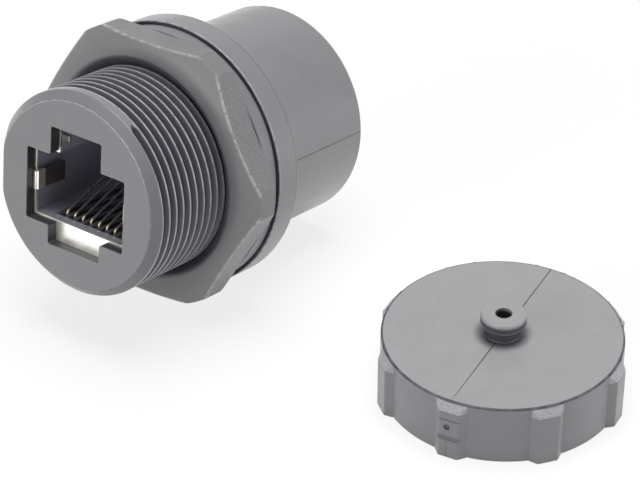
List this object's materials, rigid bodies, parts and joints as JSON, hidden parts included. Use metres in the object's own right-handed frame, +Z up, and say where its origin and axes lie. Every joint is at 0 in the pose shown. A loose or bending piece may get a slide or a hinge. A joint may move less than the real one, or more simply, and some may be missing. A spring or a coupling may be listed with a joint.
{
  "type": "waterproof ethernet coupler",
  "caption": "Waterproof panel coupler with a keyed network socket at each end, a threaded nose with nut and washer, and its lugged screw-on dust cap lying beside it.",
  "frame": {"origin": "on the floor, under the middle of the overall box of the coupler and its cap", "axes": "+Z up; +X to the right as seen from the front socket; +Y from the front socket towards the rear, along the coupler's axis as seen from above"},
  "size_m": [0.0632, 0.0342, 0.0276],
  "materials": {
    "housing_plastic": "satin moulded",
    "nut_plastic": "fine grained",
    "cap_plastic": "fine grained",
    "washer_rubber": "smooth",
    "seal_rubber": "smooth",
    "shield_sheet": "bright plated",
    "socket_black": "moulded",
    "gilded_wire": "gilded",
    "board": "lacquered"
  },
  "bodies": {
    "coupler": {"cap_seal": "seal_rubber", "circuit_board": "board", "dust_cap": "cap_plastic", "front_contact_1": "gilded_wire", "front_contact_2": "gilded_wire", "front_contact_3": "gilded_wire", "front_contact_4": "gilded_wire", "front_contact_5": "gilded_wire", "front_contact_6": "gilded_wire", "front_contact_7": "gilded_wire", "front_contact_8": "gilded_wire", "front_contact_comb": "socket_black", "front_jack_body": "socket_black", "front_shield": "shield_sheet", "housing": "housing_plastic", "insert_seal": "seal_rubber", "rear_bezel": "housing_plastic", "rear_contact_1": "gilded_wire", "rear_contact_2": "gilded_wire", "rear_contact_3": "gilded_wire", "rear_contact_4": "gilded_wire", "rear_contact_5": "gilded_wire", "rear_contact_6": "gilded_wire", "rear_contact_7": "gilded_wire", "rear_contact_8": "gilded_wire", "rear_contact_comb": "socket_black", "rear_jack_body": "socket_black", "rear_shield": "shield_sheet"},
    "washer": {"panel_gasket": "washer_rubber"},
    "nut": {"panel_nut": "nut_plastic"}
  },
  "joints": [
    {"name": "washer_slide", "type": "slide", "parent": "coupler", "child": "washer", "axis": [0, -0.9827, 0.1851], "range_m": [0, 0.0094]},
    {"name": "nut_turn", "type": "hinge", "parent": "washer", "child": "nut", "pos_m": [-0.0173, -0.00448, 0.01436], "axis": [0, -0.9827, 0.1851], "range_deg": [0, 3384]}
  ],
  "couplings": [
    {"joint": "washer_slide", "follows": "nut_turn", "m_per_rad": 0.00015915}
  ]
}
